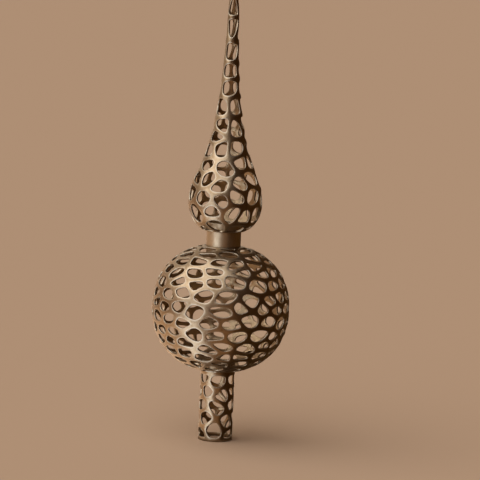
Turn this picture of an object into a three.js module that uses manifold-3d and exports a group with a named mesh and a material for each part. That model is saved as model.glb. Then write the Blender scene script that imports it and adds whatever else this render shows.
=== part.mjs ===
// A tree topper in pierced brass. A socket tube slips over the leader of the tree and carries a round
// ball. A plain neck stands on the ball and carries a drop that draws out into a long hollow spire.
// Ball and drop are each pressed in two shells that meet edge to edge at their widest circle. The tubes
// reach into the shells and are brazed there. Millimetres, +Z up, origin at the middle of the mouth.
import * as THREE from "three";
import { mergeVertices } from "three/addons/utils/BufferGeometryUtils.js";
import Module from "manifold-3d";

const wasm = await Module();
wasm.setup();

// Sheet and joints
const WALL = 1.2; // thickness of every shell and tube
const BRAZE_GAP = 0.3; // room for the filler between two pieces
const TUBE_INSERT = 5; // length of a tube's end inside the shell that it carries

// Socket tube and neck
const TUBE_RADIUS = 10;
const SOCKET_REACH = 41; // from the mouth to the ball
const NECK_REACH = 8.5; // from the ball to the drop

// Ball
const BALL_RADIUS = 40;
const BALL_HALF_HEIGHT = 37.5;
const BALL_FULLNESS = 2.2; // exponent of the outline, where 2 is an ellipse and more has fuller shoulders

// Drop and spire, whose outline is two cubic curves that meet upright at the widest circle
const DROP_RADIUS = 21.4;
const BOWL_RISE = 16.2; // from the drop's foot to its widest circle
const BOWL_FOOT_HANDLE = 3.5; // pull of the curve outwards, along the flat foot
const BOWL_RIM_HANDLE = 10.5; // pull of the curve down from the widest circle
const SPIRE_RISE = 147.3; // from the widest circle to the seat of the tip
const SPIRE_END_RADIUS = 2.7;
const SPIRE_FOOT_HANDLE = 27.3; // pull of the curve up from the widest circle
const SPIRE_END_HANDLE = 140.3; // pull of the curve down from the tip
const TIP_RISE = 12;
const TIP_NOSE_RADIUS = 1.1;
const TIP_PLUG_LENGTH = 6; // length of the tip's plug inside the spire

// Pierced pattern: rows of cells, each with one rounded opening
const RIB_WIDTH = 2.05; // metal between two openings
const RIM_WIDTH = 2; // plain metal at the end of a shell
const FEWEST_COLUMNS = 3;
const IN_LINE_FREEDOM = 0.35; // how freely the rows of the fewest columns stray, as a share of the others
const WANDER = 0.28; // how far a cell strays from its row and column, as a share of their pitch
const DRIFT = 0.2; // how far a row strays from half a column beside the row below, in columns
const WAVE = { height: 0.25, count: 3 }; // how a row rises and falls round the axis, in rows and per turn
const CORNER_SHARPNESS = 3.8; // exponent that rounds an opening's corners: more is sharper
// Pitch of the columns and of the rows, how much wider than high a cell tends to be, and the number that
// the arrangement starts from
const TUBE_CELL = { round: 11, along: 7.6, stretch: 1.15, seed: 14 };
const BALL_CELL = { round: 12.5, along: 7.25, stretch: 1.5, seed: 160 };
const DROP_CELL = { round: 11, along: 9.6, stretch: 1.1, seed: 291 };
const SCRAMBLE = { height: 43758.5453, speed: 127.1 }; // a wave so high that its fractions look random

// Fineness of the faceted surface
const OPENING_SIDES = 12;
const ROUND_SIDES = 36;
const CHORD_SAG = 0.25; // most that a straight edge may leave the curved surface
const OUTLINE_STEPS = 240;
const SAME_POINT = 0.15; // corners nearer than this are one corner
const WELD = 1e-4; // rounding that is left between copies of one corner

const TURN = 2 * Math.PI;

// Heights along the axis
const opening = TUBE_RADIUS + BRAZE_GAP; // radius of each hole that a tube passes through
const poleHeight = BALL_HALF_HEIGHT * (1 - (opening / BALL_RADIUS) ** BALL_FULLNESS) ** (1 / BALL_FULLNESS);
const ballMiddle = SOCKET_REACH + poleHeight;
const ballTop = ballMiddle + poleHeight;
const dropFoot = ballTop + NECK_REACH;
const dropMiddle = dropFoot + BOWL_RISE;
const spireEnd = dropMiddle + SPIRE_RISE;

// A number from 0 to 1 that looks random and is the same for the same seed.
function scramble(seed) {
  const wave = SCRAMBLE.height * Math.sin(SCRAMBLE.speed * seed);
  return wave - Math.floor(wave);
}

// The ball's outline as radius and height, from its lower opening to its upper one.
class BallOutline extends THREE.Curve {
  getPoint(t, target = new THREE.Vector2()) {
    const end = Math.asin((poleHeight / BALL_HALF_HEIGHT) ** (BALL_FULLNESS / 2));
    const angle = THREE.MathUtils.lerp(-end, end, t);
    const power = 2 / BALL_FULLNESS;
    const height = BALL_HALF_HEIGHT * Math.abs(Math.sin(angle)) ** power * Math.sign(angle);
    return target.set(BALL_RADIUS * Math.cos(angle) ** power, ballMiddle + height);
  }
}

// The drop's outline as radius and height, from its foot round the bowl and up to the spire's end.
function dropOutline() {
  const foot = new THREE.Vector2(opening, dropFoot);
  const widest = new THREE.Vector2(DROP_RADIUS, dropMiddle);
  const end = new THREE.Vector2(SPIRE_END_RADIUS, spireEnd);
  const path = new THREE.CurvePath();
  path.add(
    new THREE.CubicBezierCurve(
      foot,
      new THREE.Vector2(foot.x + BOWL_FOOT_HANDLE, foot.y),
      new THREE.Vector2(widest.x, widest.y - BOWL_RIM_HANDLE),
      widest,
    ),
  );
  path.add(
    new THREE.CubicBezierCurve(
      widest,
      new THREE.Vector2(widest.x, widest.y + SPIRE_FOOT_HANDLE),
      new THREE.Vector2(end.x, end.y - SPIRE_END_HANDLE),
      end,
    ),
  );
  return path;
}

// A shell turned round the Z axis, unrolled to a flat map that keeps the form of small shapes:
// x is the angle round the axis, and y grows with the length along the outline over the radius.
class UnrolledShell {
  constructor(outline, bore) {
    this.bore = bore; // the inner face keeps out of this radius
    this.stations = [];
    const points = outline.getSpacedPoints(OUTLINE_STEPS);
    points.forEach((point, i) => {
      const before = points[Math.max(i - 1, 0)];
      const after = points[Math.min(i + 1, OUTLINE_STEPS)];
      const along = after.clone().sub(before).normalize();
      const last = this.stations[i - 1];
      const step = last ? point.distanceTo(before) : 0;
      this.stations.push({
        radius: point.x,
        height: point.y,
        outward: new THREE.Vector2(along.y, -along.x),
        length: last ? last.length + step : 0,
        y: last ? last.y + (2 * step) / (point.x + before.x) : 0,
      });
    });
    this.length = this.stations.at(-1).length;
    this.top = this.stations.at(-1).y;
  }

  // The two stations around a value of one of their fields, and the share of the way between them.
  around(field, value) {
    const found = this.stations.findIndex((station) => station[field] >= value);
    const upper = Math.max(found < 0 ? OUTLINE_STEPS : found, 1);
    const [a, b] = [this.stations[upper - 1], this.stations[upper]];
    const share = THREE.MathUtils.clamp((value - a[field]) / (b[field] - a[field]), 0, 1);
    return [a, b, share];
  }

  // The map's y at a length along the outline.
  yAt(length) {
    const [a, b, share] = this.around("length", length);
    return THREE.MathUtils.lerp(a.y, b.y, share);
  }

  radiusAt(y) {
    const [a, b, share] = this.around("y", y);
    return THREE.MathUtils.lerp(a.radius, b.radius, share);
  }

  // The point of the shell at a place on the map, at a depth under its outer face.
  point(place, depth) {
    const [a, b, share] = this.around("y", place.y);
    const outward = a.outward.clone().lerp(b.outward, share).normalize();
    const radius = THREE.MathUtils.lerp(a.radius, b.radius, share) - depth * outward.x;
    const height = THREE.MathUtils.lerp(a.height, b.height, share) - depth * outward.y;
    const clear = Math.max(radius, this.bore);
    return new THREE.Vector3(clear * Math.cos(place.x), clear * Math.sin(place.x), height);
  }
}

// The rows of cells from foot to head. All cells have one area, so that narrow ones are higher.
function cellRows(shell, cell, plainEnd) {
  const usable = shell.length - plainEnd - 2 * RIM_WIDTH;
  const rows = [];
  let reached = 0;
  while (reached < usable) {
    const around = TURN * shell.radiusAt(shell.yAt(RIM_WIDTH + reached + cell.along / 2));
    const columns = Math.max(FEWEST_COLUMNS, Math.round(around / cell.round));
    const pitch = (cell.along * cell.round * columns) / around;
    rows.push({ columns, pitch, middle: reached + pitch / 2 });
    reached += pitch;
  }
  const fit = usable / reached;
  return rows.map((row) => ({
    columns: row.columns,
    pitch: row.pitch * fit,
    middle: RIM_WIDTH + row.middle * fit,
  }));
}

// The middles of the cells, on the map: staggered, waving rows of columns, each strayed a little. Rows of
// the fewest columns stand in line and are nearly even.
function cellMiddles(shell, cell, plainEnd) {
  const middles = [];
  let count = cell.seed;
  let start = scramble(cell.seed);
  cellRows(shell, cell, plainEnd).forEach((row, number) => {
    const inLine = row.columns === FEWEST_COLUMNS;
    const freedom = inLine ? IN_LINE_FREEDOM : 1;
    start += inLine ? 0 : 0.5 + DRIFT * (2 * scramble(cell.seed + number) - 1);
    for (let column = 0; column < row.columns; column++) {
      count += 1;
      const strayRound = freedom * WANDER * (2 * scramble(count) - 1);
      const angle = ((column + start + strayRound) / row.columns) * TURN;
      const wave = WAVE.height * Math.sin(WAVE.count * angle + number ** 2);
      const strayAlong = freedom * row.pitch * (wave + WANDER * (2 * scramble(count + 0.5) - 1));
      middles.push(new THREE.Vector2(angle % TURN, shell.yAt(row.middle + strayAlong)));
    }
  });
  return middles;
}

// The part of a convex polygon where normal . point is at most reach.
function clip(polygon, normal, reach) {
  const kept = [];
  polygon.forEach((a, i) => {
    const b = polygon[(i + 1) % polygon.length];
    const roomA = reach - normal.dot(a);
    const roomB = reach - normal.dot(b);
    if (roomA >= 0) kept.push(a);
    if (roomA * roomB < 0) kept.push(a.clone().lerp(b, roomA / (roomA - roomB)));
  });
  return kept;
}

// The part of the map that is nearer to one middle than to any other, where a way along the axis counts
// more than a way round it by the stretch.
function cellAround(middle, middles, stretch, top) {
  const half = TURN / 2;
  let polygon = [
    new THREE.Vector2(middle.x - half, 0),
    new THREE.Vector2(middle.x + half, 0),
    new THREE.Vector2(middle.x + half, top),
    new THREE.Vector2(middle.x - half, top),
  ];
  for (const other of middles) {
    if (other === middle) continue;
    for (const turn of [-TURN, 0, TURN]) {
      const across = new THREE.Vector2(other.x + turn - middle.x, other.y - middle.y);
      const halfway = middle.clone().addScaledVector(across, 0.5);
      const normal = new THREE.Vector2(across.x, across.y * stretch ** 2);
      polygon = clip(polygon, normal, normal.dot(halfway));
    }
  }
  return polygon;
}

// The area's middle of a convex polygon, or null if the polygon is empty.
function middleOf(polygon) {
  let area = 0;
  const sum = new THREE.Vector2();
  for (let i = 1; i + 1 < polygon.length; i++) {
    const [a, b, c] = [polygon[0], polygon[i], polygon[i + 1]];
    const part = b.clone().sub(a).cross(c.clone().sub(a));
    area += part;
    sum.addScaledVector(a, part / 3).addScaledVector(b, part / 3).addScaledVector(c, part / 3);
  }
  return area > 0 ? sum.divideScalar(area) : null;
}

// A cell's opening: its middle, size and rounded outline. Each side of the cell moves in by its margin,
// and the sides' distances are joined by a power mean that rounds the corners between them.
function openingIn(cell, marginOf) {
  const sides = cell.map((a, i) => {
    const b = cell[(i + 1) % cell.length];
    const normal = new THREE.Vector2(b.y - a.y, a.x - b.x).normalize();
    return { normal, reach: normal.dot(a) - marginOf(a, b) };
  });
  const inset = sides.reduce((left, side) => clip(left, side.normal, side.reach), cell);
  const middle = middleOf(inset);
  if (!middle) return null;
  const size = new THREE.Box2().setFromPoints(inset).getSize(new THREE.Vector2());
  const outline = [];
  for (let i = 0; i < OPENING_SIDES; i++) {
    const angle = (i / OPENING_SIDES) * TURN;
    const ray = new THREE.Vector2(size.x * Math.cos(angle), size.y * Math.sin(angle));
    const total = sides.reduce((sum, side) => {
      const closeness = side.normal.dot(ray) / (side.reach - side.normal.dot(middle));
      return sum + Math.max(closeness, 0) ** CORNER_SHARPNESS;
    }, 0);
    outline.push(middle.clone().addScaledVector(ray, total ** (-1 / CORNER_SHARPNESS)));
  }
  return { middle, size, outline };
}

// A cell's outline with points added where a straight edge would leave the curved shell too far.
function subdivided(cell, shell) {
  return cell.flatMap((a, i) => {
    const b = cell[(i + 1) % cell.length];
    const radius = shell.radiusAt((a.y + b.y) / 2);
    const longest = Math.sqrt(8 * radius * CHORD_SAG);
    const parts = Math.max(1, Math.ceil((radius * a.distanceTo(b)) / longest));
    return Array.from({ length: parts }, (_, part) => a.clone().lerp(b, part / parts));
  });
}

// Triangles between two loops that both run round an opening's middle: each loop's next edge is taken in
// the order of the angle at which the middle sees that edge's own middle, as if the opening were square.
function triangulateRing(outer, inner, { middle, size }) {
  const anglesOf = (loop) => {
    const angles = loop.map((p, i) => {
      const way = p.clone().lerp(loop[(i + 1) % loop.length], 0.5).sub(middle).divide(size);
      return Math.atan2(way.y, way.x);
    });
    const first = angles.indexOf(Math.min(...angles));
    return { first, angles: angles.map((_, i) => angles[(first + i) % angles.length]) };
  };
  const [o, n] = [anglesOf(outer), anglesOf(inner)];
  const triangles = [];
  let [i, j] = [0, 0];
  while (i < outer.length || j < inner.length) {
    const a = outer[(o.first + i) % outer.length];
    const b = inner[(n.first + j) % inner.length];
    if (j >= inner.length || (i < outer.length && o.angles[i] < n.angles[j])) {
      i += 1;
      triangles.push([a, outer[(o.first + i) % outer.length], b]);
    } else {
      j += 1;
      triangles.push([a, inner[(n.first + j) % inner.length], b]);
    }
  }
  return triangles;
}

// A shell of sheet metal with one opening in each cell and a plain end above them, as a closed geometry.
function piercedShell(outline, bore, cellSize, plainEnd) {
  const shell = new UnrolledShell(outline, bore);
  const top = shell.yAt(shell.length - plainEnd);
  const foot = shell.yAt(RIM_WIDTH);
  const head = top - shell.yAt(shell.length - plainEnd - RIM_WIDTH);
  const corners = []; // outer and inner point of each corner
  const cornerAt = (place) => {
    const outer = shell.point(place, 0);
    const known = corners.findIndex((corner) => corner[0].distanceTo(outer) < SAME_POINT);
    if (known >= 0) return known;
    corners.push([outer, shell.point(place, WALL)]);
    return corners.length - 1;
  };
  const positions = [];
  const addTriangle = (...points) => points.forEach((p) => positions.push(p.x, p.y, p.z));
  const addFace = (places) => {
    const [a, b, c] = places.map(cornerAt);
    if (a === b || b === c || c === a) return;
    addTriangle(corners[a][0], corners[b][0], corners[c][0]);
    addTriangle(corners[a][1], corners[c][1], corners[b][1]);
  };
  const addWall = (from, to) => {
    const [a, b] = [cornerAt(from), cornerAt(to)];
    if (a === b) return;
    addTriangle(corners[a][0], corners[b][0], corners[b][1]);
    addTriangle(corners[a][0], corners[b][1], corners[a][1]);
  };
  const onEnd = (a, b) => a.y === b.y && (a.y === 0 || a.y === top);
  const addEnd = (a, b) => {
    if (a.y === 0 || plainEnd === 0) return addWall(b, a);
    const [c, d] = [a, b].map((place) => new THREE.Vector2(place.x, shell.top));
    addFace([b, a, c]);
    addFace([b, c, d]);
    addWall(d, c);
  };
  const middles = cellMiddles(shell, cellSize, plainEnd);

  for (const middle of middles) {
    const cell = cellAround(middle, middles, cellSize.stretch, top);
    const halfRib = RIB_WIDTH / 2 / shell.radiusAt(middle.y);
    const marginOf = (a, b) => (onEnd(a, b) ? (a.y === 0 ? foot : head) : halfRib);
    const hole = openingIn(cell, marginOf);
    const border = subdivided(cell, shell);
    border.forEach((a, i) => {
      const b = border[(i + 1) % border.length];
      if (onEnd(a, b)) addEnd(a, b);
      if (!hole) addFace([a, b, middle]);
    });
    if (!hole) continue;
    triangulateRing(border, hole.outline, hole).forEach(addFace);
    hole.outline.forEach((a, i) => addWall(a, hole.outline[(i + 1) % hole.outline.length]));
  }
  return new THREE.BufferGeometry().setAttribute("position", new THREE.Float32BufferAttribute(positions, 3));
}

// A solid turned round the Z axis from a profile of [radius, height] points.
function turned(profile) {
  const points = profile.map(([radius, height]) => new THREE.Vector2(radius, height));
  return new THREE.LatheGeometry(points, ROUND_SIDES).rotateX(Math.PI / 2);
}

function solidOf(geometry) {
  const bare = geometry.clone().deleteAttribute("normal").deleteAttribute("uv");
  const merged = mergeVertices(bare, WELD);
  return new wasm.Manifold(
    new wasm.Mesh({
      numProp: 3,
      vertProperties: merged.attributes.position.array,
      triVerts: new Uint32Array(merged.index.array),
    }),
  );
}

function geometryOf(solid) {
  const mesh = solid.getMesh();
  return new THREE.BufferGeometry()
    .setAttribute("position", new THREE.BufferAttribute(mesh.vertProperties, 3))
    .setIndex(new THREE.BufferAttribute(mesh.triVerts, 1));
}

// The two halves of a shell that is parted at a height, with room for the filler between them. Corners
// very near a cut move onto it, so that it leaves no slivers.
function partedAt(geometry, height) {
  const corners = geometry.getAttribute("position");
  for (let i = 0; i < corners.count; i++) {
    const above = corners.getZ(i) - height;
    const offCut = Math.abs(above) - BRAZE_GAP / 2;
    if (Math.abs(offCut) < BRAZE_GAP / 4) corners.setZ(i, height + (Math.sign(above) * BRAZE_GAP) / 2);
  }
  const whole = solidOf(geometry);
  const box = new THREE.Box3().setFromBufferAttribute(corners);
  const size = box.getSize(new THREE.Vector3()).multiplyScalar(2);
  const block = () => new THREE.BoxGeometry(size.x, size.y, size.z);
  const above = block().translate(0, 0, height - BRAZE_GAP / 2 + size.z / 2);
  const below = block().translate(0, 0, height + BRAZE_GAP / 2 - size.z / 2);
  return [above, below].map((cutter) => geometryOf(whole.subtract(solidOf(cutter))));
}

const brass = { color: 0x9a7a52, metalness: 1 };
const piercedBrass = new THREE.MeshStandardMaterial({ ...brass, roughness: 0.38 });
const plainBrass = new THREE.MeshStandardMaterial({ ...brass, roughness: 0.3 });

function socketTube() {
  const outline = new THREE.LineCurve(
    new THREE.Vector2(TUBE_RADIUS, 0),
    new THREE.Vector2(TUBE_RADIUS, SOCKET_REACH + TUBE_INSERT),
  );
  return piercedShell(outline, TUBE_RADIUS - WALL, TUBE_CELL, TUBE_INSERT);
}

function neckTube() {
  const low = ballTop - TUBE_INSERT;
  const high = dropFoot + TUBE_INSERT;
  return turned([
    [TUBE_RADIUS - WALL, low],
    [TUBE_RADIUS, low],
    [TUBE_RADIUS, high],
    [TUBE_RADIUS - WALL, high],
    [TUBE_RADIUS - WALL, low],
  ]);
}

function spireTip() {
  const plug = SPIRE_END_RADIUS - WALL - BRAZE_GAP;
  const seat = spireEnd + BRAZE_GAP;
  const nose = seat + TIP_RISE - TIP_NOSE_RADIUS;
  return turned([
    [0, spireEnd - TIP_PLUG_LENGTH],
    [plug, spireEnd - TIP_PLUG_LENGTH],
    [plug, seat],
    [SPIRE_END_RADIUS, seat],
    [TIP_NOSE_RADIUS, nose],
    [TIP_NOSE_RADIUS * Math.SQRT1_2, nose + TIP_NOSE_RADIUS * Math.SQRT1_2],
    [0, nose + TIP_NOSE_RADIUS],
  ]);
}

const topper = new THREE.Group();

function addPiece(name, geometry, material) {
  const piece = new THREE.Mesh(geometry, material);
  piece.name = name;
  topper.add(piece);
}

const ball = piercedShell(new BallOutline(), opening, BALL_CELL, 0);
const [lowerBall, upperBall] = partedAt(ball, ballMiddle);
const drop = piercedShell(dropOutline(), SPIRE_END_RADIUS - WALL, DROP_CELL, TIP_PLUG_LENGTH);
const [bowl, spire] = partedAt(drop, dropMiddle);

addPiece("socket_tube", socketTube(), piercedBrass);
addPiece("ball_lower_shell", lowerBall, piercedBrass);
addPiece("ball_upper_shell", upperBall, piercedBrass);
addPiece("neck_tube", neckTube(), plainBrass);
addPiece("drop_bowl", bowl, piercedBrass);
addPiece("spire_shell", spire, piercedBrass);
addPiece("spire_tip", spireTip(), plainBrass);

export default topper;
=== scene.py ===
"""Dress the pierced brass tree topper and stand it in a plain studio.

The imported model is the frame. Each of its pieces is made again here with the same outline and the same
pattern of openings, but finely enough to show the rounded lips of the openings and the crowned ribs.
Sizes are in millimetres up to the point where a mesh is made, and in metres from there on.
"""

import logging
import math
from abc import ABC, abstractmethod
from collections.abc import Sequence
from dataclasses import dataclass, field
from enum import Enum
from functools import cached_property
from typing import NamedTuple

import bmesh
import bpy
import numpy as np
from mathutils import Matrix, Vector


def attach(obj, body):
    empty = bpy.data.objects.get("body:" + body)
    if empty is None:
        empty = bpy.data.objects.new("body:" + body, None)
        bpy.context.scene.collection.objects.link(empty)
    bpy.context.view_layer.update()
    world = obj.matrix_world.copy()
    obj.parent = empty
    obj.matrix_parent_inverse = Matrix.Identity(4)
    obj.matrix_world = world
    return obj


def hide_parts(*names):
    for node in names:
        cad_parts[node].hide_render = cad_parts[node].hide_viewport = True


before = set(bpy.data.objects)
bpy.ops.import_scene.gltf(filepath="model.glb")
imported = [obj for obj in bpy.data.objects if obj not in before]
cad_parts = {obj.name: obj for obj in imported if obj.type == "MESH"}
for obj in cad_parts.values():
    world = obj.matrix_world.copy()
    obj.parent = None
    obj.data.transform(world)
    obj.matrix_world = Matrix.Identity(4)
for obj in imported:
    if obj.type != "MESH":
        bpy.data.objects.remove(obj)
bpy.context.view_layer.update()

LOG = logging.getLogger("tree_topper")
BODY = "root"
TURN = 2 * math.pi
MM = 0.001  # a millimetre, in metres
SAME_POINT = 2e-6  # corners nearer than this are one corner, in metres
SEAM_SNAP = 5e-6  # corners nearer than this to a seam move onto it, in metres
OUTLINE_STEPS = 480  # steps of a shell's measured outline
ARC_MIDDLE = 0.3  # how far a rounded edge's middle lies from either face, as a share of the rounding
SCRAMBLE_HEIGHT = 43758.5453  # height of a wave whose fractions look random
SCRAMBLE_SPEED = 127.1

Colour = tuple[float, float, float]
Point = tuple[float, float]
Feed = bpy.types.NodeSocket | Vector | float | tuple[float, ...]


class Slot(Enum):
    """The record's material slots."""

    PIERCED = "pierced_brass"
    PLAIN = "plain_brass"


class Half(Enum):
    """Which side of a seam a shell keeps."""

    LOWER = -1
    UPPER = 1


class WearAndPaintedLight(NamedTuple):
    """How rubbed (worn, and paler as a painted highlight), how deep and how darkened by painted shade a
    corner of a mesh is, each from 0 to 1.
    """

    rubbed_and_sheen: float = 0.0
    recessed: float = 0.0
    painted_shade: float = 0.0


class Part(Enum):
    """The parts of a rib's section, with their wear, painted highlight and painted shade."""

    FACE = WearAndPaintedLight()
    # Rubbed lips, made paler also as a painted highlight along the openings' edges.
    LIP = WearAndPaintedLight(rubbed_and_sheen=1.0)
    # Painted shade: the openings' walls are darkened most of the way to the patina colour.
    WALL = WearAndPaintedLight(recessed=0.2, painted_shade=0.7)
    INSIDE = WearAndPaintedLight(recessed=1.0)


@dataclass(frozen=True)
class Gauge:
    """The sizes of sheet and tube that all pieces share, in millimetres.

    Attributes:
        wall: Thickness of every shell and tube.
        braze_gap: Room for the filler between two pieces.
        tube_insert: Length of a tube's end inside the shell that it carries.
        tube_radius: Outer radius of the tubes.
    """

    wall: float = 1.2
    braze_gap: float = 0.3
    tube_insert: float = 5.0
    tube_radius: float = 10.0

    @property
    def bore(self) -> float:
        """Inner radius of the tubes."""
        return self.tube_radius - self.wall

    @property
    def opening(self) -> float:
        """Radius of each hole that a tube passes through."""
        return self.tube_radius + self.braze_gap


GAUGE = Gauge()


@dataclass(frozen=True)
class Ring:
    """A loop of corners round every opening, at one place of a rib's section.

    Attributes:
        part: The part of the section that it lies on.
        depth: Depth under the outer face, in millimetres.
        back: Way back from the opening's edge, in millimetres.
        share: Share of the rest of the way to the cell's border.
    """

    part: Part
    depth: float
    back: float = 0.0
    share: float = 0.0


@dataclass(frozen=True)
class Openwork:
    """What the pierced patterns have in common.

    Attributes:
        rib: Metal between two openings, in millimetres.
        rim: Plain metal at the end of a pattern, in millimetres.
        wander: How far a cell strays from its row and column, as a share of their pitch.
        drift: How far a row strays from half a column beside the row below, in columns.
        wave: How high a row rises and falls round the axis, in rows.
        waves: How often it does so in a turn.
        corner_sharpness: Exponent that rounds an opening's corners, where more is sharper.
        fewest_columns: Columns of the narrowest rows, which stand in line.
        in_line_freedom: How freely those rows stray, as a share of the others.
        lip: Rounding of an opening's outer edge, in millimetres.
        inner_lip: Rounding of its inner edge, in millimetres.
        lip_steps: Steps of the outer rounding.
        crown: How far a rib's outer face falls from its middle to its lips, in millimetres.
        mesh_step: Length of the mesh's steps, in millimetres.
    """

    rib: float = 2.05
    rim: float = 2.0
    wander: float = 0.28
    drift: float = 0.2
    wave: float = 0.25
    waves: int = 3
    corner_sharpness: float = 3.8
    fewest_columns: int = 3
    in_line_freedom: float = 0.35
    lip: float = 0.28
    inner_lip: float = 0.2
    lip_steps: int = 3
    crown: float = 0.04
    mesh_step: float = 0.85

    def section(self) -> list[Ring]:
        """Lay out the section of half a rib, from the middle of its outer face round to the inner one.

        Returns:
            The rings, in that order.
        """
        halfway = 0.5
        rings = [
            Ring(Part.FACE, 0.0, share=1.0),
            Ring(Part.FACE, self.crown * halfway**2, back=self.lip, share=halfway),
            Ring(Part.LIP, self.crown, back=self.lip),
        ]
        for step in range(1, self.lip_steps + 1):
            angle = math.radians(90 * step / self.lip_steps)
            fall = (self.lip - self.crown) * (1 - math.cos(angle))
            rings.append(Ring(Part.LIP, self.crown + fall, back=self.lip * (1 - math.sin(angle))))
        bend = self.inner_lip * ARC_MIDDLE
        rings += [
            Ring(Part.WALL, GAUGE.wall - self.inner_lip),
            Ring(Part.WALL, GAUGE.wall - bend, back=bend),
            Ring(Part.INSIDE, GAUGE.wall, back=self.inner_lip),
            Ring(Part.INSIDE, GAUGE.wall, share=1.0),
        ]
        return rings


OPENWORK = Openwork()


@dataclass(frozen=True)
class Cells:
    """The cells of one shell's pattern.

    Attributes:
        round: Pitch of the columns round the axis, in millimetres.
        along: Pitch of the rows along the outline, in millimetres.
        stretch: How much wider than high a cell tends to be.
        seed: The number that the arrangement starts from.
    """

    round: float
    along: float
    stretch: float
    seed: int


@dataclass(frozen=True)
class Row:
    """One row of cells.

    Attributes:
        columns: Number of its cells.
        pitch: Its height along the outline, in millimetres.
        middle: Length along the outline to its middle, in millimetres.
    """

    columns: int
    pitch: float
    middle: float


def scramble(seed: float) -> float:
    """Give a number from 0 to 1 that looks random and is the same for the same seed.

    Args:
        seed: Any number.

    Returns:
        The scrambled number.
    """
    wave = SCRAMBLE_HEIGHT * math.sin(SCRAMBLE_SPEED * seed)
    return wave - math.floor(wave)


def stray(seed: float) -> float:
    """Give a number from -1 to 1 that looks random and is the same for the same seed."""
    return 2 * scramble(seed) - 1


def cubic(start: np.ndarray, pull: np.ndarray, push: np.ndarray, end: np.ndarray) -> np.ndarray:
    """Sample a cubic curve.

    Args:
        start: First point.
        pull: Handle of the first point.
        push: Handle of the last point.
        end: Last point.

    Returns:
        The points, one a row.
    """
    gone = np.linspace(0, 1, OUTLINE_STEPS + 1)[:, None]
    left = 1 - gone
    return left**3 * start + 3 * left * left * gone * pull + 3 * left * gone * gone * push + gone**3 * end


def clip(polygon: np.ndarray, normal: np.ndarray, reach: float) -> np.ndarray:
    """Keep the part of a convex polygon where normal . point is at most reach.

    Args:
        polygon: Corners, one a row.
        normal: Direction across the line.
        reach: How far the kept part goes in that direction.

    Returns:
        Corners of the part that is kept.
    """
    room = reach - polygon @ normal
    if room.min() >= 0:
        return polygon
    kept = []
    for i, corner in enumerate(polygon):
        j = (i + 1) % len(polygon)
        if room[i] >= 0:
            kept.append(corner)
        if room[i] * room[j] < 0:
            kept.append(corner + (polygon[j] - corner) * room[i] / (room[i] - room[j]))
    return np.array(kept).reshape(-1, 2)


def middle_of(polygon: np.ndarray) -> np.ndarray | None:
    """Find the area's middle of a convex polygon.

    Args:
        polygon: Corners, one a row.

    Returns:
        The middle, or None if the polygon is empty.
    """
    if len(polygon) < 3:
        return None
    a, b, c = polygon[0], polygon[1:-1], polygon[2:]
    areas = (b - a)[:, 0] * (c - a)[:, 1] - (b - a)[:, 1] * (c - a)[:, 0]
    if areas.sum() <= 0:
        return None
    return ((a + b + c) / 3 * areas[:, None]).sum(axis=0) / areas.sum()


def rolled(loop: list[int]) -> list[int]:
    """Start a closed loop at its second corner."""
    return loop[1:] + loop[:1]


class UnrolledShell:
    """A shell turned round the Z axis, unrolled to a flat map that keeps the form of small shapes.

    On the map x is the angle round the axis, and y grows with the length along the outline over the radius.
    """

    def __init__(self, outline: np.ndarray, bore: float) -> None:
        """Measure the outline.

        Args:
            outline: Radius and height of its points, from the foot to the head.
            bore: Radius that the inner face keeps out of.
        """
        self.bore = bore
        steps = np.hypot(*np.diff(outline, axis=0).T)
        walked = np.concatenate([[0], np.cumsum(steps)])
        self.length = float(walked[-1])
        self.lengths = np.linspace(0, self.length, OUTLINE_STEPS + 1)
        self.radii = np.interp(self.lengths, walked, outline[:, 0])
        self.heights = np.interp(self.lengths, walked, outline[:, 1])
        along = np.stack([np.gradient(self.radii), np.gradient(self.heights)], axis=1)
        along /= np.linalg.norm(along, axis=1)[:, None]
        self.outward = np.stack([along[:, 1], -along[:, 0]], axis=1)
        step = self.length / OUTLINE_STEPS
        grown = 2 * step / (self.radii[1:] + self.radii[:-1])
        self.ys = np.concatenate([[0], np.cumsum(grown)])

    def y_at(self, length: float) -> float:
        """Give the map's y at a length along the outline."""
        return float(np.interp(length, self.lengths, self.ys))

    def radius_at(self, y: float) -> float:
        """Give the radius at a height of the map."""
        return float(np.interp(y, self.ys, self.radii))

    def points(self, places: np.ndarray, depth: float) -> np.ndarray:
        """Give the points of the shell at places on the map.

        Args:
            places: Places on the map, one a row.
            depth: Depth under the outer face, in millimetres.

        Returns:
            Points in millimetres, one a row.
        """
        x, y = places.T
        out_r = np.interp(y, self.ys, self.outward[:, 0])
        out_z = np.interp(y, self.ys, self.outward[:, 1])
        size = np.hypot(out_r, out_z)
        radius = np.maximum(np.interp(y, self.ys, self.radii) - depth * out_r / size, self.bore)
        height = np.interp(y, self.ys, self.heights) - depth * out_z / size
        return np.stack([radius * np.cos(x), radius * np.sin(x), height], axis=1)


@dataclass(frozen=True)
class Opening:
    """A rounded opening on the map, seen from its middle along rays to points of its cell's border.

    Attributes:
        middle: Its middle.
        rays: Directions of the rays, of length 1, one a row.
        spans: Lengths of the rays up to the border.
        edges: Lengths of the rays up to the opening's edge.
    """

    middle: np.ndarray
    rays: np.ndarray
    spans: np.ndarray
    edges: np.ndarray

    def loop(self, back: float, share: float) -> np.ndarray:
        """Give one place on each ray.

        Args:
            back: Way back from the opening's edge, on the map.
            share: Share of the rest of the way to the border.

        Returns:
            Places on the map, one a row.
        """
        start = np.minimum(self.edges + back, self.spans)
        distance = start + share * (self.spans - start)
        return self.middle + self.rays * distance[:, None]


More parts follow.
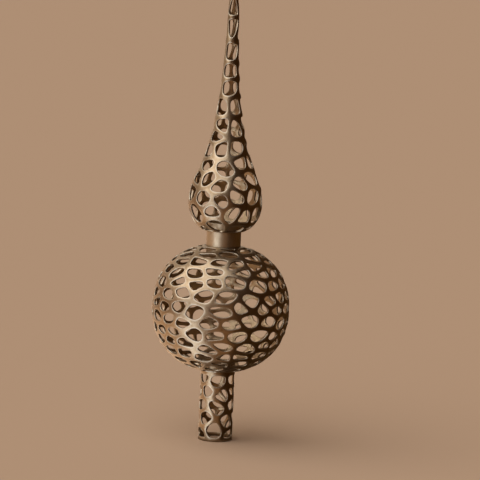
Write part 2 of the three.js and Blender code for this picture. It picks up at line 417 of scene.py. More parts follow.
@dataclass
class PiercedShell:
    """A shell of sheet with one rounded opening in each cell of an irregular pattern.

    Attributes:
        shell: The shell's map.
        cells: The cells of its pattern.
        plain_end: Length of the plain ring above the pattern, in millimetres.
        corners: The mesh's corners in metres, in one array for each loop.
        wear_and_painted_light: The wear, painted highlight and painted shade of each corner.
        faces: The mesh's faces, as numbers of corners.
    """

    shell: UnrolledShell
    cells: Cells
    plain_end: float = 0.0
    corners: list[np.ndarray] = field(default_factory=list)
    wear_and_painted_light: list[WearAndPaintedLight] = field(default_factory=list)
    faces: list[Sequence[int]] = field(default_factory=list)

    @property
    def reach(self) -> float:
        """Length along the outline where the pattern ends."""
        return self.shell.length - self.plain_end

    @property
    def top(self) -> float:
        """The map's y where the pattern ends."""
        return self.shell.y_at(self.reach)

    def rows(self) -> list[Row]:
        """Divide the pattern into rows, from foot to head, whose cells all have one area.

        Returns:
            The rows.
        """
        usable = self.reach - 2 * OPENWORK.rim
        rows = []
        reached = 0.0
        while reached < usable:
            near_middle = self.shell.y_at(OPENWORK.rim + reached + self.cells.along / 2)
            around = TURN * self.shell.radius_at(near_middle)
            columns = max(OPENWORK.fewest_columns, round(around / self.cells.round))
            pitch = self.cells.along * self.cells.round * columns / around
            rows.append(Row(columns, pitch, reached + pitch / 2))
            reached += pitch
        fit = usable / reached
        return [Row(row.columns, row.pitch * fit, OPENWORK.rim + row.middle * fit) for row in rows]

    def middles(self) -> np.ndarray:
        """Place the middles of the cells in staggered, waving rows of columns, each strayed a little.

        Returns:
            Places on the map, one a row.
        """
        places = []
        count = self.cells.seed
        start = scramble(self.cells.seed)
        for number, row in enumerate(self.rows()):
            in_line = row.columns == OPENWORK.fewest_columns
            freedom = OPENWORK.in_line_freedom if in_line else 1.0
            start += 0.0 if in_line else 0.5 + OPENWORK.drift * stray(self.cells.seed + number)
            for column in range(row.columns):
                count += 1
                aside = freedom * OPENWORK.wander * stray(count)
                angle = (column + start + aside) / row.columns * TURN
                wave = OPENWORK.wave * math.sin(OPENWORK.waves * angle + number**2)
                along = freedom * row.pitch * (wave + OPENWORK.wander * stray(count + 0.5))
                places.append((angle % TURN, self.shell.y_at(row.middle + along)))
        return np.array(places)

    def cell_around(self, middle: np.ndarray, others: np.ndarray) -> np.ndarray:
        """Cut out the part of the map that is nearer to one middle than to any other.

        A way along the axis counts more than a way round it, by the cells' stretch.

        Args:
            middle: The cell's middle.
            others: All middles, also one turn to either side.

        Returns:
            The cell's corners.
        """
        left, right = middle[0] - TURN / 2, middle[0] + TURN / 2
        polygon = np.array([(left, 0), (right, 0), (right, self.top), (left, self.top)])
        across = others - middle
        stretch = np.array([1.0, self.cells.stretch])
        distances = np.hypot(*(across * stretch).T)
        for i in np.argsort(distances)[1:]:
            reach = np.hypot(*((polygon - middle) * stretch).T).max()
            if distances[i] > 2 * reach:
                break
            normal = across[i] * stretch**2
            polygon = clip(polygon, normal, normal @ (middle + across[i] / 2))
        return polygon

    def on_end(self, a: np.ndarray, b: np.ndarray) -> bool:
        """Tell whether an edge of a cell lies on the foot or the head of the pattern."""
        return bool(a[1] == b[1] and a[1] in (0.0, self.top))

    def margin(self, a: np.ndarray, b: np.ndarray, half_rib: float) -> float:
        """Give the metal, on the map, that an opening leaves along an edge of its cell.

        Args:
            a: First end of the edge.
            b: Second end of the edge.
            half_rib: Half a rib's width on the map.

        Returns:
            The margin on the map.
        """
        if not self.on_end(a, b):
            return half_rib
        if a[1] == 0:
            return self.shell.y_at(OPENWORK.rim)
        return self.top - self.shell.y_at(self.reach - OPENWORK.rim)

    def border(self, cell: np.ndarray) -> np.ndarray:
        """Divide a cell's edges into short steps.

        Args:
            cell: The cell's corners.

        Returns:
            Places along the edges, one a row.
        """
        places = []
        for a, b in zip(cell, np.roll(cell, -1, axis=0)):
            length = self.shell.radius_at((a[1] + b[1]) / 2) * np.hypot(*(b - a))
            parts = max(1, round(float(length) / OPENWORK.mesh_step))
            places += [a + (b - a) * part / parts for part in range(parts)]
        return np.array(places)

    def opening_in(self, cell: np.ndarray, border: np.ndarray, half_rib: float) -> Opening | None:
        """Shape a cell's opening.

        Each edge of the cell moves in by its margin, and the edges' distances are joined by a power mean
        that rounds the corners between them.

        Args:
            cell: The cell's corners.
            border: Places along the cell's edges.
            half_rib: Half a rib's width on the map.

        Returns:
            The opening, or None if the cell is too small for one.
        """
        normals, reaches = [], []
        inset = cell
        for a, b in zip(cell, np.roll(cell, -1, axis=0)):
            normal = np.array([b[1] - a[1], a[0] - b[0]]) / np.hypot(*(b - a))
            normals.append(normal)
            reaches.append(normal @ a - self.margin(a, b, half_rib))
            inset = clip(inset, normal, reaches[-1])
        middle = middle_of(inset)
        if middle is None:
            return None
        rays = border - middle
        spans = np.hypot(*rays.T)
        rays /= spans[:, None]
        closeness = (rays @ np.array(normals).T) / (np.array(reaches) - np.array(normals) @ middle)
        totals = (np.maximum(closeness, 0) ** OPENWORK.corner_sharpness).sum(axis=1)
        return Opening(middle, rays, spans, totals ** (-1 / OPENWORK.corner_sharpness))

    def add_loop(self, places: np.ndarray, depth: float, part: Part) -> list[int]:
        """Add one loop of corners.

        Args:
            places: Places on the map.
            depth: Depth under the outer face, in millimetres.
            part: The part of the section that the loop lies on.

        Returns:
            The corners' numbers.
        """
        first = len(self.wear_and_painted_light)
        self.corners.append(self.shell.points(places, depth) * MM)
        self.wear_and_painted_light += [part.value] * len(places)
        return list(range(first, len(self.wear_and_painted_light)))

    def add_cell(self, cell: np.ndarray, radius: float) -> None:
        """Mesh one cell: outer face, rounded lip, wall, inner lip and inner face.

        Args:
            cell: The cell's corners.
            radius: The shell's radius at the cell, in millimetres.
        """
        border = self.border(cell)
        opening = self.opening_in(cell, border, OPENWORK.rib / 2 / radius)
        if opening is None:
            self.add_plain(border)
            return
        loops = []
        for ring in OPENWORK.section():
            places = opening.loop(ring.back / radius, ring.share)
            loops.append(self.add_loop(places, ring.depth, ring.part))
        for outer, nearer in zip(loops, loops[1:]):
            self.faces += zip(outer, rolled(outer), rolled(nearer), nearer)
        self.close_ends(border, loops[0], loops[-1])

    def add_plain(self, border: np.ndarray) -> None:
        """Mesh a cell that is too small for an opening.

        Args:
            border: Places along the cell's edges.
        """
        outer = self.add_loop(border, 0, Part.FACE)
        inner = self.add_loop(border, GAUGE.wall, Part.INSIDE)
        self.faces += [outer, inner[::-1]]
        self.close_ends(border, outer, inner)

    def close_ends(self, border: np.ndarray, outer: list[int], inner: list[int]) -> None:
        """Close the sheet where a cell lies on the foot or the head of the pattern.

        Args:
            border: Places along the cell's edges.
            outer: Their corners on the outer face.
            inner: Their corners on the inner face.
        """
        for i in range(len(border)):
            j = (i + 1) % len(border)
            if not self.on_end(border[i], border[j]):
                continue
            if self.plain_end and border[i][1] > 0:
                self.add_plain_end(border[i], border[j])
            else:
                self.faces.append((outer[j], outer[i], inner[i], inner[j]))

    def add_plain_end(self, a: np.ndarray, b: np.ndarray) -> None:
        """Mesh the part of the plain end that stands on one edge of a cell.

        Args:
            a: First end of the edge.
            b: Second end of the edge.
        """
        steps = max(1, round(self.plain_end / OPENWORK.mesh_step))
        lengths = np.linspace(self.reach, self.shell.length, steps + 1)
        heights = [self.shell.y_at(length) for length in lengths]
        sides = [np.array([(place[0], y) for y in heights]) for place in (a, b)]
        outer_a, outer_b = [self.add_loop(side, 0, Part.FACE) for side in sides]
        inner_a, inner_b = [self.add_loop(side, GAUGE.wall, Part.INSIDE) for side in sides]
        for low in range(steps):
            high = low + 1
            self.faces.append((outer_b[low], outer_a[low], outer_a[high], outer_b[high]))
            self.faces.append((inner_a[low], inner_b[low], inner_b[high], inner_a[high]))
        self.faces.append((outer_b[-1], outer_a[-1], inner_a[-1], inner_b[-1]))

    def mesh(self, name: str) -> bpy.types.Mesh:
        """Make the shell's mesh, with its wear, painted highlight and painted shade as attributes.

        Args:
            name: Name of the mesh.

        Returns:
            The closed mesh, in metres.
        """
        middles = self.middles()
        others = np.concatenate([middles, middles - (TURN, 0), middles + (TURN, 0)])
        for middle in middles:
            self.add_cell(self.cell_around(middle, others), self.shell.radius_at(middle[1]))
        mesh = bpy.data.meshes.new(name)
        mesh.from_pydata(np.concatenate(self.corners), [], self.faces)
        for i, attribute in enumerate(WearAndPaintedLight._fields):
            values = mesh.attributes.new(attribute, "FLOAT", "POINT")
            values.data.foreach_set("value", [wear_and_painted_light[i] for wear_and_painted_light in self.wear_and_painted_light])
        work = bmesh.new()
        work.from_mesh(mesh)
        bmesh.ops.remove_doubles(work, verts=work.verts, dist=SAME_POINT)
        work.to_mesh(mesh)
        work.free()
        return mesh


def half_of(whole: bpy.types.Mesh, name: str, height: float, half: Half) -> bpy.types.Mesh:
    """Part a closed shell at a height and close the cut ribs.

    Args:
        whole: The whole shell.
        name: Name of the new mesh.
        height: Height of the seam, in millimetres.
        half: The side to keep.

    Returns:
        The half shell, whose seam edges are marked sharp.
    """
    work = bmesh.new()
    work.from_mesh(whole)
    cut = bmesh.ops.bisect_plane(
        work,
        geom=[*work.verts, *work.edges, *work.faces],
        dist=SEAM_SNAP,
        use_snap_center=True,
        plane_co=(0, 0, height * MM),
        plane_no=(0, 0, half.value),
        clear_inner=True,
    )
    edges = [item for item in cut["geom_cut"] if isinstance(item, bmesh.types.BMEdge)]
    seam = [edge for edge in edges if edge.is_boundary]
    for edge in seam:
        edge.smooth = False
    bmesh.ops.holes_fill(work, edges=seam, sides=0)
    mesh = bpy.data.meshes.new(name)
    work.to_mesh(mesh)
    work.free()
    return mesh


@dataclass(frozen=True)
class Turning:
    """A solid turned round the Z axis, with rounded edges.

    Attributes:
        profile: Radius and height of the profile's corners, in millimetres, anticlockwise.
        edge: Most that a corner is rounded, in millimetres.
        sides: Number of sides.
        edge_steps: Steps of each rounding.
        side_share: Most of a side of the profile that one rounding takes up.
    """

    profile: Sequence[Point]
    edge: float
    sides: int = 128
    edge_steps: int = 4
    side_share: float = 0.45

    def rounded(self) -> list[Point]:
        """Round the profile's corners, apart from those on the axis.

        Returns:
            The rounded profile.
        """
        points: list[Point] = []
        for i, corner in enumerate(self.profile):
            here = Vector(corner)
            if here.x == 0:
                points.append(corner)
                continue
            back = Vector(self.profile[i - 1]) - here
            on = Vector(self.profile[(i + 1) % len(self.profile)]) - here
            reach = min(self.edge, back.length * self.side_share, on.length * self.side_share)
            start, end = here + back.normalized() * reach, here + on.normalized() * reach
            for step in range(self.edge_steps + 1):
                t = step / self.edge_steps
                bend = start * (1 - t) ** 2 + here * (2 * t * (1 - t)) + end * t * t
                points.append((bend.x, bend.y))
        return points

    def mesh(self, name: str) -> bpy.types.Mesh:
        """Make the turned mesh.

        Args:
            name: Name of the mesh.

        Returns:
            The closed mesh, in metres.
        """
        work = bmesh.new()
        rings = []
        for radius, height in self.rounded():
            angles = [0.0] if radius == 0 else [TURN * i / self.sides for i in range(self.sides)]
            circle = [(radius * math.cos(angle), radius * math.sin(angle), height) for angle in angles]
            rings.append([work.verts.new(place) for place in np.array(circle) * MM])
        for lower, upper in zip(rings, rings[1:] + rings[:1]):
            if len(lower) == len(upper) == 1:
                continue
            for i in range(self.sides):
                j = (i + 1) % self.sides
                places = (lower, i), (lower, j), (upper, j), (upper, i)
                corners = [ring[side % len(ring)] for ring, side in places]
                work.faces.new(list(dict.fromkeys(corners)))
        bmesh.ops.recalc_face_normals(work, faces=work.faces)
        mesh = bpy.data.meshes.new(name)
        work.to_mesh(mesh)
        work.free()
        return mesh


@dataclass(frozen=True)
class Nodes:
    """The nodes of a material or of the world, added one by one.

    Attributes:
        tree: The node tree that they go into.
    """

    tree: bpy.types.NodeTree

    def feed(self, socket: bpy.types.NodeSocket, value: Feed) -> None:
        """Give an input its value.

        Args:
            socket: The input.
            value: Another node's output, a number, a colour or a vector.
        """
        if isinstance(value, bpy.types.NodeSocket):
            self.tree.links.new(value, socket)
        else:
            socket.default_value = value

    def place(self, kind: str) -> bpy.types.NodeSocket:
        """Read the place on the object, or the direction in the world, by the kind of coordinate."""
        return self.tree.nodes.new("ShaderNodeTexCoord").outputs[kind]

    def attribute(self, name: str) -> bpy.types.NodeSocket:
        """Read one of the mesh's own attributes.

        Args:
            name: Name of the attribute.

        Returns:
            Its value, which is 0 on a mesh without it.
        """
        node = self.tree.nodes.new("ShaderNodeAttribute")
        node.attribute_name = name
        return node.outputs["Fac"]

    def noise(self, place: bpy.types.NodeSocket, scale: float, detail: float) -> bpy.types.NodeSocket:
        """Add a noise.

        Args:
            place: Where it is read.
            scale: Its scale, per metre.
            detail: Number of finer noises on top.

        Returns:
            Its value.
        """
        node = self.tree.nodes.new("ShaderNodeTexNoise")
        node.inputs["Scale"].default_value = scale
        node.inputs["Detail"].default_value = detail
        self.feed(node.inputs["Vector"], place)
        return node.outputs["Fac"]

    def ramp(self, value: bpy.types.NodeSocket, low: float, high: float) -> bpy.types.NodeSocket:
        """Stretch a value smoothly.

        Args:
            value: The value.
            low: What becomes 0.
            high: What becomes 1.

        Returns:
            The stretched value.
        """
        node = self.tree.nodes.new("ShaderNodeMapRange")
        node.interpolation_type = "SMOOTHSTEP"
        node.inputs["From Min"].default_value = low
        node.inputs["From Max"].default_value = high
        self.feed(node.inputs["Value"], value)
        return node.outputs["Result"]

    def math(self, operation: str, *values: Feed) -> bpy.types.NodeSocket:
        """Calculate a value from 0 to 1.

        Args:
            operation: The calculation, by its name in the Math node.
            values: What goes into it, in order.

        Returns:
            The result, clamped.
        """
        node = self.tree.nodes.new("ShaderNodeMath")
        node.operation = operation
        node.use_clamp = True
        for socket, value in zip(node.inputs, values):
            self.feed(socket, value)
        return node.outputs["Value"]

    def mix(self, share: bpy.types.NodeSocket, first: Feed, second: Feed) -> bpy.types.NodeSocket:
        """Mix two colours.

        Args:
            share: Share of the second one.
            first: First colour.
            second: Second colour.

        Returns:
            The mixed colour.
        """
        node = self.tree.nodes.new("ShaderNodeMix")
        node.data_type = "RGBA"
        self.feed(node.inputs["Factor"], share)
        inputs = [socket for socket in node.inputs if socket.type == "RGBA"]
        for socket, colour in zip(inputs, (first, second)):
            self.feed(socket, colour)
        return next(socket for socket in node.outputs if socket.type == "RGBA")


@dataclass(frozen=True)
class Stain:
    """One kind of stain, which lies where a noise is high.

    Attributes:
        scale: Scale of the noise, per metre.
        detail: Number of finer noises on top.
        low: Value of the noise where the stain starts.
        high: Value where it is full.
        weight: How much it counts.
    """

    scale: float
    detail: float
    low: float
    high: float
    weight: float


@dataclass(frozen=True)
class AntiqueBrass:
    """Satin antique brass: bright where it is rubbed, which also paints a highlight on the lips, brown where
    it lies deep, and painted shade on the openings' walls.

    Attributes:
        slot: The record's slot.
        brass: Colour of the open face.
        patina_and_shade: Colour of the stains, and of the painted shade on the openings' walls.
        inside: Colour of the inner face.
        rubbed_and_sheen: Colour of the rubbed lips, which also paints a highlight along them.
        rub_and_sheen_share: How far a lip takes on that colour, from 0 to 1.
        roughness: Roughness of the open face.
        stain_roughness: Roughness that a full stain adds.
        stain: How strongly the stains show, from 0 to 1.
        stains: Clouds, spots and specks. The noise of the last ones is the fine grain too.
        beat_scale: Scale of the beaten face, per metre.
        grain: Height of the fine grain, as a share of the beaten face's.
        relief: Strength of the beaten and grained face.
        relief_height: Its height, in metres.
    """

    slot: Slot
    brass: Colour = (0.30, 0.229, 0.153)
    patina_and_shade: Colour = (0.10, 0.055, 0.021)
    inside: Colour = (0.36, 0.265, 0.165)
    rubbed_and_sheen: Colour = (0.38, 0.335, 0.27)
    rub_and_sheen_share: float = 0.7
    roughness: float = 0.28
    stain_roughness: float = 0.2
    stain: float = 0.5
    stains: tuple[Stain, ...] = (
        Stain(scale=90.0, detail=5.0, low=0.40, high=0.75, weight=1.0),
        Stain(scale=420.0, detail=4.0, low=0.48, high=0.72, weight=0.5),
        Stain(scale=1300.0, detail=4.0, low=0.52, high=0.70, weight=0.45),
    )
    beat_scale: float = 230.0
    grain: float = 0.6
    relief: float = 0.35
    relief_height: float = 0.0003

    @cached_property
    def material(self) -> bpy.types.Material:
        """The node material, made when it is first asked for."""
        material = bpy.data.materials.new(self.slot.value)
        material.use_nodes = True
        nodes = Nodes(material.node_tree)
        shader = material.node_tree.nodes["Principled BSDF"]
        shader.inputs["Metallic"].default_value = 1.0
        place = nodes.place("Object")
        noises = [nodes.noise(place, stain.scale, stain.detail) for stain in self.stains]
        dirt: Feed = 0.0
        for stain, noise in zip(self.stains, noises):
            dirt = nodes.math("MULTIPLY_ADD", nodes.ramp(noise, stain.low, stain.high), stain.weight, dirt)
        stained = nodes.math("MULTIPLY", dirt, self.stain)
        # The stains, plus painted shade that darkens the openings' walls.
        dark = nodes.math("ADD", stained, nodes.attribute("painted_shade"))
        face = nodes.mix(dark, (*self.brass, 1), (*self.patina_and_shade, 1))
        deep = nodes.mix(nodes.attribute("recessed"), face, (*self.inside, 1))
        # Paler lips: rubbed wear and a painted highlight along the openings' edges.
        worn_and_sheen = nodes.math("MULTIPLY", nodes.attribute("rubbed_and_sheen"), self.rub_and_sheen_share)
        nodes.feed(shader.inputs["Base Color"], nodes.mix(worn_and_sheen, deep, (*self.rubbed_and_sheen, 1)))
        rough = nodes.math("MULTIPLY_ADD", stained, self.stain_roughness, self.roughness)
        nodes.feed(shader.inputs["Roughness"], rough)
        beaten = nodes.noise(place, self.beat_scale, detail=1.0)
        bump = material.node_tree.nodes.new("ShaderNodeBump")
        bump.inputs["Strength"].default_value = self.relief
        bump.inputs["Distance"].default_value = self.relief_height
        nodes.feed(bump.inputs["Height"], nodes.math("MULTIPLY_ADD", noises[-1], self.grain, beaten))
        nodes.feed(shader.inputs["Normal"], bump.outputs["Normal"])
        return material


PIERCED_BRASS = AntiqueBrass(Slot.PIERCED)
# The neck and tip get a lighter copy of the brass, painted light that brightens them.
PLAIN_BRASS = AntiqueBrass(Slot.PLAIN, brass=(0.41, 0.335, 0.24), roughness=0.36, stain=0.3, grain=0.1)


def add_object(name: str, data: bpy.types.ID) -> bpy.types.Object:
    """Put an object into the scene.

    Args:
        name: Name of the object.
        data: Its mesh, light or camera.

    Returns:
        The object.
    """
    thing = bpy.data.objects.new(name, data)
    bpy.context.scene.collection.objects.link(thing)
    return thing


class Piece(NamedTuple):
    """A mesh that gives a piece its name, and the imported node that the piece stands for."""

    mesh: bpy.types.Mesh
    node: str


class SubAssembly(ABC):
    """Pieces of the topper that are made together and have one finish."""

    finish: AntiqueBrass

    @abstractmethod
    def build(self) -> list[Piece]:
        """Make the meshes of the pieces."""

    def dress(self) -> list[bpy.types.Object]:
        """Make the pieces and put them into the scene with their finish, riding on the object's body.

        Returns:
            The dressed pieces.
        """
        dressed = []
        for mesh, node in self.build():
            piece = add_object(mesh.name, mesh)
            mesh.shade_smooth()
            mesh.materials.append(self.finish.material)
            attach(piece, BODY)
            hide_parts(node)
            dressed.append(piece)
        return dressed


@dataclass
class SocketTube(SubAssembly):
    """The pierced tube that slips over the leader of the tree.

    Attributes:
        reach: Length from the mouth to the ball, in millimetres.
        cells: The cells of its pattern.
        finish: Its finish.
    """

    reach: float = 41.0
    cells: Cells = Cells(round=11.0, along=7.6, stretch=1.15, seed=14)
    finish: AntiqueBrass = PIERCED_BRASS

    def build(self) -> list[Piece]:
        """Make the tube, whose end inside the ball is plain.

        Returns:
            The tube.
        """
        height = self.reach + GAUGE.tube_insert
        outline = np.array([(GAUGE.tube_radius, 0.0), (GAUGE.tube_radius, height)])
        sheet = PiercedShell(UnrolledShell(outline, GAUGE.bore), self.cells, GAUGE.tube_insert)
        return [Piece(sheet.mesh("socket_tube_sheet"), "socket_tube")]


@dataclass
class Ball(SubAssembly):
    """The pierced ball, in a lower and an upper shell.

    Attributes:
        foot: Height of its lower opening, in millimetres.
        radius: Radius at the seam.
        half_height: Half the height of the closed outline.
        fullness: Exponent of the outline, where 2 is an ellipse and more has fuller shoulders.
        cells: The cells of its pattern.
        finish: Its finish.
    """

    foot: float
    radius: float = 40.0
    half_height: float = 37.5
    fullness: float = 2.2
    cells: Cells = Cells(round=12.5, along=7.25, stretch=1.5, seed=160)
    finish: AntiqueBrass = PIERCED_BRASS

    @property
    def pole_height(self) -> float:
        """Height from the seam to an opening."""
        aside = (GAUGE.opening / self.radius) ** self.fullness
        return self.half_height * (1 - aside) ** (1 / self.fullness)

    @property
    def middle(self) -> float:
        """Height of the seam."""
        return self.foot + self.pole_height

    @property
    def top(self) -> float:
        """Height of the upper opening."""
        return self.middle + self.pole_height

    def outline(self) -> np.ndarray:
        """Draw the outline, from the lower opening to the upper one.

        Returns:
            Radius and height of its points, one a row.
        """
        end = math.asin((self.pole_height / self.half_height) ** (self.fullness / 2))
        angles = np.linspace(-end, end, 2 * OUTLINE_STEPS + 1)
        power = 2 / self.fullness
        heights = self.half_height * np.abs(np.sin(angles)) ** power * np.sign(angles)
        return np.stack([self.radius * np.cos(angles) ** power, self.middle + heights], axis=1)

    def build(self) -> list[Piece]:
        """Make both shells.

        Returns:
            The lower and the upper shell.
        """
        whole = PiercedShell(UnrolledShell(self.outline(), GAUGE.opening), self.cells).mesh("ball")
        pieces = [
            Piece(half_of(whole, "ball_lower_sheet", self.middle, Half.LOWER), "ball_lower_shell"),
            Piece(half_of(whole, "ball_upper_sheet", self.middle, Half.UPPER), "ball_upper_shell"),
        ]
        bpy.data.meshes.remove(whole)
        return pieces


@dataclass
class Neck(SubAssembly):
    """The plain tube between ball and drop.

    Attributes:
        foot: Height where it leaves the ball, in millimetres.
        reach: Length from the ball to the drop.
        edge: Rounding of its ends.
        finish: Its finish.
    """

    foot: float
    reach: float = 8.5
    edge: float = 0.3
    finish: AntiqueBrass = PLAIN_BRASS

    @property
    def top(self) -> float:
        """Height where it enters the drop."""
        return self.foot + self.reach

    def build(self) -> list[Piece]:
        """Make the tube.

        Returns:
            The tube.
        """
        inner, outer = GAUGE.bore, GAUGE.tube_radius
        low, high = self.foot - GAUGE.tube_insert, self.top + GAUGE.tube_insert
        sleeve = Turning([(inner, low), (outer, low), (outer, high), (inner, high)], self.edge)
        return [Piece(sleeve.mesh("neck_sleeve"), "neck_tube")]


@dataclass
class Drop(SubAssembly):
    """The pierced drop that draws out into the spire, in a bowl and an upper shell.

    Attributes:
        foot: Height of its foot, in millimetres.
        radius: Radius at the seam.
        bowl_rise: Height from the foot to the seam.
        bowl_foot_handle: Pull of the outline outwards along the foot.
        bowl_rim_handle: Pull of the outline down from the seam.
        spire_rise: Height from the seam to the seat of the tip.
        end_radius: Radius at the spire's end.
        spire_foot_handle: Pull of the outline up from the seam.
        spire_end_handle: Pull of the outline down from the tip.
        collar: Length of the spire's plain end, round the tip's plug.
        cells: The cells of its pattern.
        finish: Its finish.
    """

    foot: float
    radius: float = 21.4
    bowl_rise: float = 16.2
    bowl_foot_handle: float = 3.5
    bowl_rim_handle: float = 10.5
    spire_rise: float = 147.3
    end_radius: float = 2.7
    spire_foot_handle: float = 27.3
    spire_end_handle: float = 140.3
    collar: float = 6.0
    cells: Cells = Cells(round=11.0, along=9.6, stretch=1.1, seed=291)
    finish: AntiqueBrass = PIERCED_BRASS

    @property
    def middle(self) -> float:
        """Height of the seam."""
        return self.foot + self.bowl_rise

    @property
    def end(self) -> float:
        """Height of the spire's end."""
        return self.middle + self.spire_rise

    def outline(self) -> np.ndarray:
        """Draw the outline, from the foot to the spire's end.

        Returns:
            Radius and height of its points, one a row.
        """
        foot = np.array([GAUGE.opening, self.foot])
        widest = np.array([self.radius, self.middle])
        end = np.array([self.end_radius, self.end])
        out, up = np.array([1.0, 0.0]), np.array([0.0, 1.0])
        bowl = cubic(foot, foot + out * self.bowl_foot_handle, widest - up * self.bowl_rim_handle, widest)
        spire = cubic(widest, widest + up * self.spire_foot_handle, end - up * self.spire_end_handle, end)
        return np.concatenate([bowl, spire[1:]])

    def build(self) -> list[Piece]:
        """Make both shells.

        Returns:
            The bowl and the spire.
        """
        shell = UnrolledShell(self.outline(), self.end_radius - GAUGE.wall)
        whole = PiercedShell(shell, self.cells, self.collar).mesh("drop")
        pieces = [
            Piece(half_of(whole, "drop_bowl_sheet", self.middle, Half.LOWER), "drop_bowl"),
            Piece(half_of(whole, "spire_sheet", self.middle, Half.UPPER), "spire_shell"),
        ]
        bpy.data.meshes.remove(whole)
        return pieces


@dataclass
class Tip(SubAssembly):
    """The turned point that closes the spire.

    Attributes:
        seat: Height of the spire's end, in millimetres.
        radius: Radius at the seat.
        rise: Length of the point.
        nose: Radius of its rounded end.
        plug_length: Length of the plug inside the spire.
        edge: Rounding of its edges.
        nose_steps: Points of the rounded end.
        sides: Number of sides.
        finish: Its finish.
    """

    seat: float
    radius: float
    rise: float = 12.0
    nose: float = 1.1
    plug_length: float = 6.0
    edge: float = 0.2
    nose_steps: int = 7
    sides: int = 64
    finish: AntiqueBrass = PLAIN_BRASS

    def build(self) -> list[Piece]:
        """Make the plug and the point, whose rounded end goes on smoothly from its slope.

        Returns:
            The point.
        """
        plug = self.radius - GAUGE.wall - GAUGE.braze_gap
        low, end = self.seat - self.plug_length, self.seat + GAUGE.braze_gap + self.rise
        body = [(0.0, low), (plug, low), (plug, self.seat), (self.radius, self.seat)]
        centre = end - self.nose
        slope = math.degrees(math.atan2(self.radius - self.nose, centre - self.seat))
        angles = [math.radians(angle) for angle in np.linspace(slope, 90, self.nose_steps)]
        dome = [(self.nose * math.cos(angle), centre + self.nose * math.sin(angle)) for angle in angles[:-1]]
        point = Turning(body + dome + [(0.0, end)], self.edge, self.sides)
        return [Piece(point.mesh("spire_point"), "spire_tip")]


def towards(azimuth: float, elevation: float) -> Vector:
    """Give the direction from the object to a place in the studio.

    Args:
        azimuth: Degrees to the right of the camera's side.
        elevation: Degrees above the horizon.

    Returns:
        A vector of length 1.
    """
    turn, rise = math.radians(azimuth), math.radians(elevation)
    return Vector((math.sin(turn) * math.cos(rise), -math.cos(turn) * math.cos(rise), math.sin(rise)))


def matt(name: str, colour: Colour, glow: float = 0.0) -> bpy.types.Material:
    """Make a plain matt material for the studio.

    Args:
        name: Name of the material.
        colour: Its colour.
        glow: Strength of its own light.

    Returns:
        The material.
    """
    material = bpy.data.materials.new(name)
    material.use_nodes = True
    shader = material.node_tree.nodes["Principled BSDF"]
    shader.inputs["Base Color"].default_value = (*colour, 1)
    shader.inputs["Roughness"].default_value = 1.0
    shader.inputs["Specular IOR Level"].default_value = 0.0
    shader.inputs["Emission Color"].default_value = (*colour, 1)
    shader.inputs["Emission Strength"].default_value = glow
    return material


@dataclass(frozen=True)
class Lamp:
    """A broad, soft light from far away.

    Attributes:
        name: Name of the lamp.
        azimuth: Degrees to the right of the camera's side.
        elevation: Degrees above the horizon.
        angle: Width of the light, in degrees.
        strength: Strength of the light.
    """

    name: str
    azimuth: float
    elevation: float
    angle: float
    strength: float

    def build(self) -> None:
        """Make the lamp."""
        data = bpy.data.lights.new(self.name, "SUN")
        data.energy = self.strength
        data.angle = math.radians(self.angle)
        lamp = add_object(self.name, data)
        lamp.rotation_mode = "QUATERNION"
        lamp.rotation_quaternion = towards(self.azimuth, self.elevation).to_track_quat("Z", "Y")


@dataclass(frozen=True)
class Card:
    """A studio card, swept round the object on the floor and up behind, that only the metal mirrors.

    Attributes:
        name: Name of the card.
        span: Azimuths of its two ends, in degrees.
        colour: Colour of the card.
        glow: Strength of its own light.
        near: Radius where it starts on the floor, in metres.
        far: Radius where it turns up, in metres.
        height: Height of the part that stands, in metres.
        lift: Height of the part that lies, over the floor, in metres.
        steps: Steps of its sweep.
    """

    name: str
    span: tuple[float, float]
    colour: Colour
    glow: float = 0.0
    near: float = 0.03
    far: float = 0.40
    height: float = 0.2
    lift: float = 0.0005
    steps: int = 24

    def build(self) -> None:
        """Make the card."""
        low, high = Vector((0, 0, self.lift)), Vector((0, 0, self.height))
        places = []
        for azimuth in np.linspace(*self.span, self.steps + 1):
            out = towards(float(azimuth), 0)
            places += [out * self.near + low, out * self.far + low, out * self.far + high]
        across = 3  # places in one section of the card
        faces = [
            (corner, corner + across, corner + across + 1, corner + 1)
            for corner in range(across * self.steps)
            if (corner + 1) % across
        ]
        mesh = bpy.data.meshes.new(self.name)
        mesh.from_pydata(places, [], faces)
        mesh.materials.append(matt(self.name, self.colour, self.glow))
        card = add_object(self.name, mesh)
        card.visible_camera = card.visible_shadow = card.visible_diffuse = False


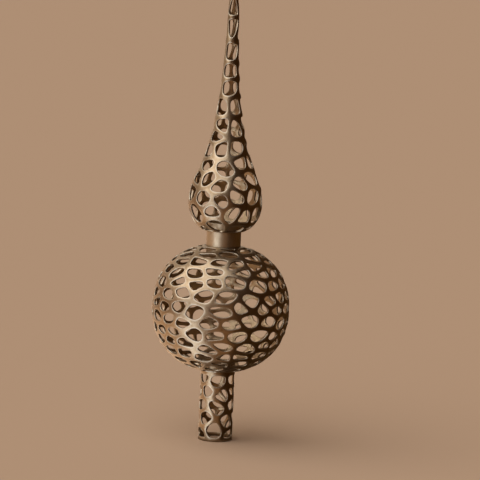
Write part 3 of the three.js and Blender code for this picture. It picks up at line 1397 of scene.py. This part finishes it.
@dataclass(frozen=True)
class Studio:
    """A plain pale floor under one broad, soft light, and the camera.

    Attributes:
        floor_radius: Radius of the floor, in metres.
        floor_sides: Number of the floor's sides.
        floor_colour: Colour of the floor.
        lit_side: Colour of the room on the light's side.
        dark_side: Colour of the room on the other side.
        shade_azimuth: Where the dark side lies, in degrees to the right of the camera's side.
        shade_range: How far towards that side the shade starts and is full, from -1 to 1.
        cards: The cards that the metal mirrors.
        window: The broad light.
        distance: Distance from the camera to the object's axis, in metres.
        elevation: Height of the camera, in degrees above the horizon.
        roll: Turn of the camera about its own axis, in degrees.
        aim_height: Height on the axis that the camera faces, in metres.
        aim_side: Distance to the right of the axis that the camera faces, in metres.
        view_width: Width of the view at the object, in metres.
        sight: Nearest and farthest distance that the camera sees, in metres.
    """

    floor_radius: float = 40.0
    floor_sides: int = 96
    floor_colour: Colour = (0.37, 0.26, 0.18)
    lit_side: Colour = (0.86, 0.69, 0.52)
    dark_side: Colour = (0.10, 0.047, 0.016)
    shade_azimuth: float = 68.0
    shade_range: tuple[float, float] = (-0.7, 0.2)
    cards: tuple[Card, ...] = (
        Card("dark_card", (22.0, 168.0), (0.08, 0.042, 0.014), near=0.012, far=0.32, height=0.6),
        Card("side_card", (-165.0, -66.0), (0.60, 0.42, 0.28), glow=0.85),
        Card("front_card", (-27.0, 22.0), (0.30, 0.175, 0.09), glow=0.45),
        Card("pale_card", (-66.0, -27.0), (0.88, 0.93, 1.0), glow=1.7),
    )
    window: Lamp = Lamp("window", azimuth=-54.0, elevation=50.0, angle=90.0, strength=3.2)
    distance: float = 1.4
    elevation: float = 7.0
    roll: float = 2.6
    aim_height: float = 0.1174
    aim_side: float = 0.0095
    view_width: float = 0.2784
    sight: tuple[float, float] = (0.01, 90.0)

    def build(self) -> None:
        """Make the floor, the cards, the light, the room and the camera."""
        self.add_floor()
        for card in self.cards:
            card.build()
        self.window.build()
        self.add_room()
        self.add_camera()
        bpy.context.scene.view_settings.view_transform = "Standard"

    def add_floor(self) -> None:
        """Make the floor."""
        mesh = bpy.data.meshes.new("floor")
        work = bmesh.new()
        bmesh.ops.create_circle(work, cap_ends=True, radius=self.floor_radius, segments=self.floor_sides)
        work.to_mesh(mesh)
        work.free()
        mesh.materials.append(matt("floor", self.floor_colour))
        add_object("floor", mesh)

    def add_room(self) -> None:
        """Make the room round the object, pale on the light's side and dark on the other."""
        world = bpy.context.scene.world = bpy.data.worlds.new("room")
        world.use_nodes = True
        nodes = Nodes(world.node_tree)
        across = world.node_tree.nodes.new("ShaderNodeVectorMath")
        across.operation = "DOT_PRODUCT"
        nodes.feed(across.inputs[0], nodes.place("Generated"))
        nodes.feed(across.inputs[1], towards(self.shade_azimuth, 0))
        shade = nodes.ramp(across.outputs["Value"], *self.shade_range)
        colour = nodes.mix(shade, (*self.lit_side, 1), (*self.dark_side, 1))
        nodes.feed(world.node_tree.nodes["Background"].inputs["Color"], colour)

    def add_camera(self) -> None:
        """Make the camera."""
        data = bpy.data.cameras.new("camera")
        data.lens = data.sensor_width * self.distance / self.view_width
        data.clip_start, data.clip_end = self.sight
        camera = add_object("camera", data)
        back = towards(0, self.elevation)
        roll = Matrix.Rotation(math.radians(self.roll), 3, "Z")
        turn = back.to_track_quat("Z", "Y").to_matrix() @ roll
        aim = Vector((0, 0, self.aim_height)) + turn.col[0] * self.aim_side
        camera.matrix_world = Matrix.Translation(aim + back * self.distance) @ turn.to_4x4()
        bpy.context.scene.camera = camera


def main() -> None:
    """Build the topper from its socket up, then the studio."""
    logging.basicConfig(level=logging.INFO, format="%(message)s")
    socket = SocketTube()
    ball = Ball(foot=socket.reach)
    neck = Neck(foot=ball.top)
    drop = Drop(foot=neck.top)
    tip = Tip(seat=drop.end, radius=drop.end_radius)
    for assembly in (socket, ball, neck, drop, tip):
        for piece in assembly.dress():
            LOG.info("%s: %d faces", piece.name, len(piece.data.polygons))
    Studio().build()


if __name__ == "__main__":
    main()
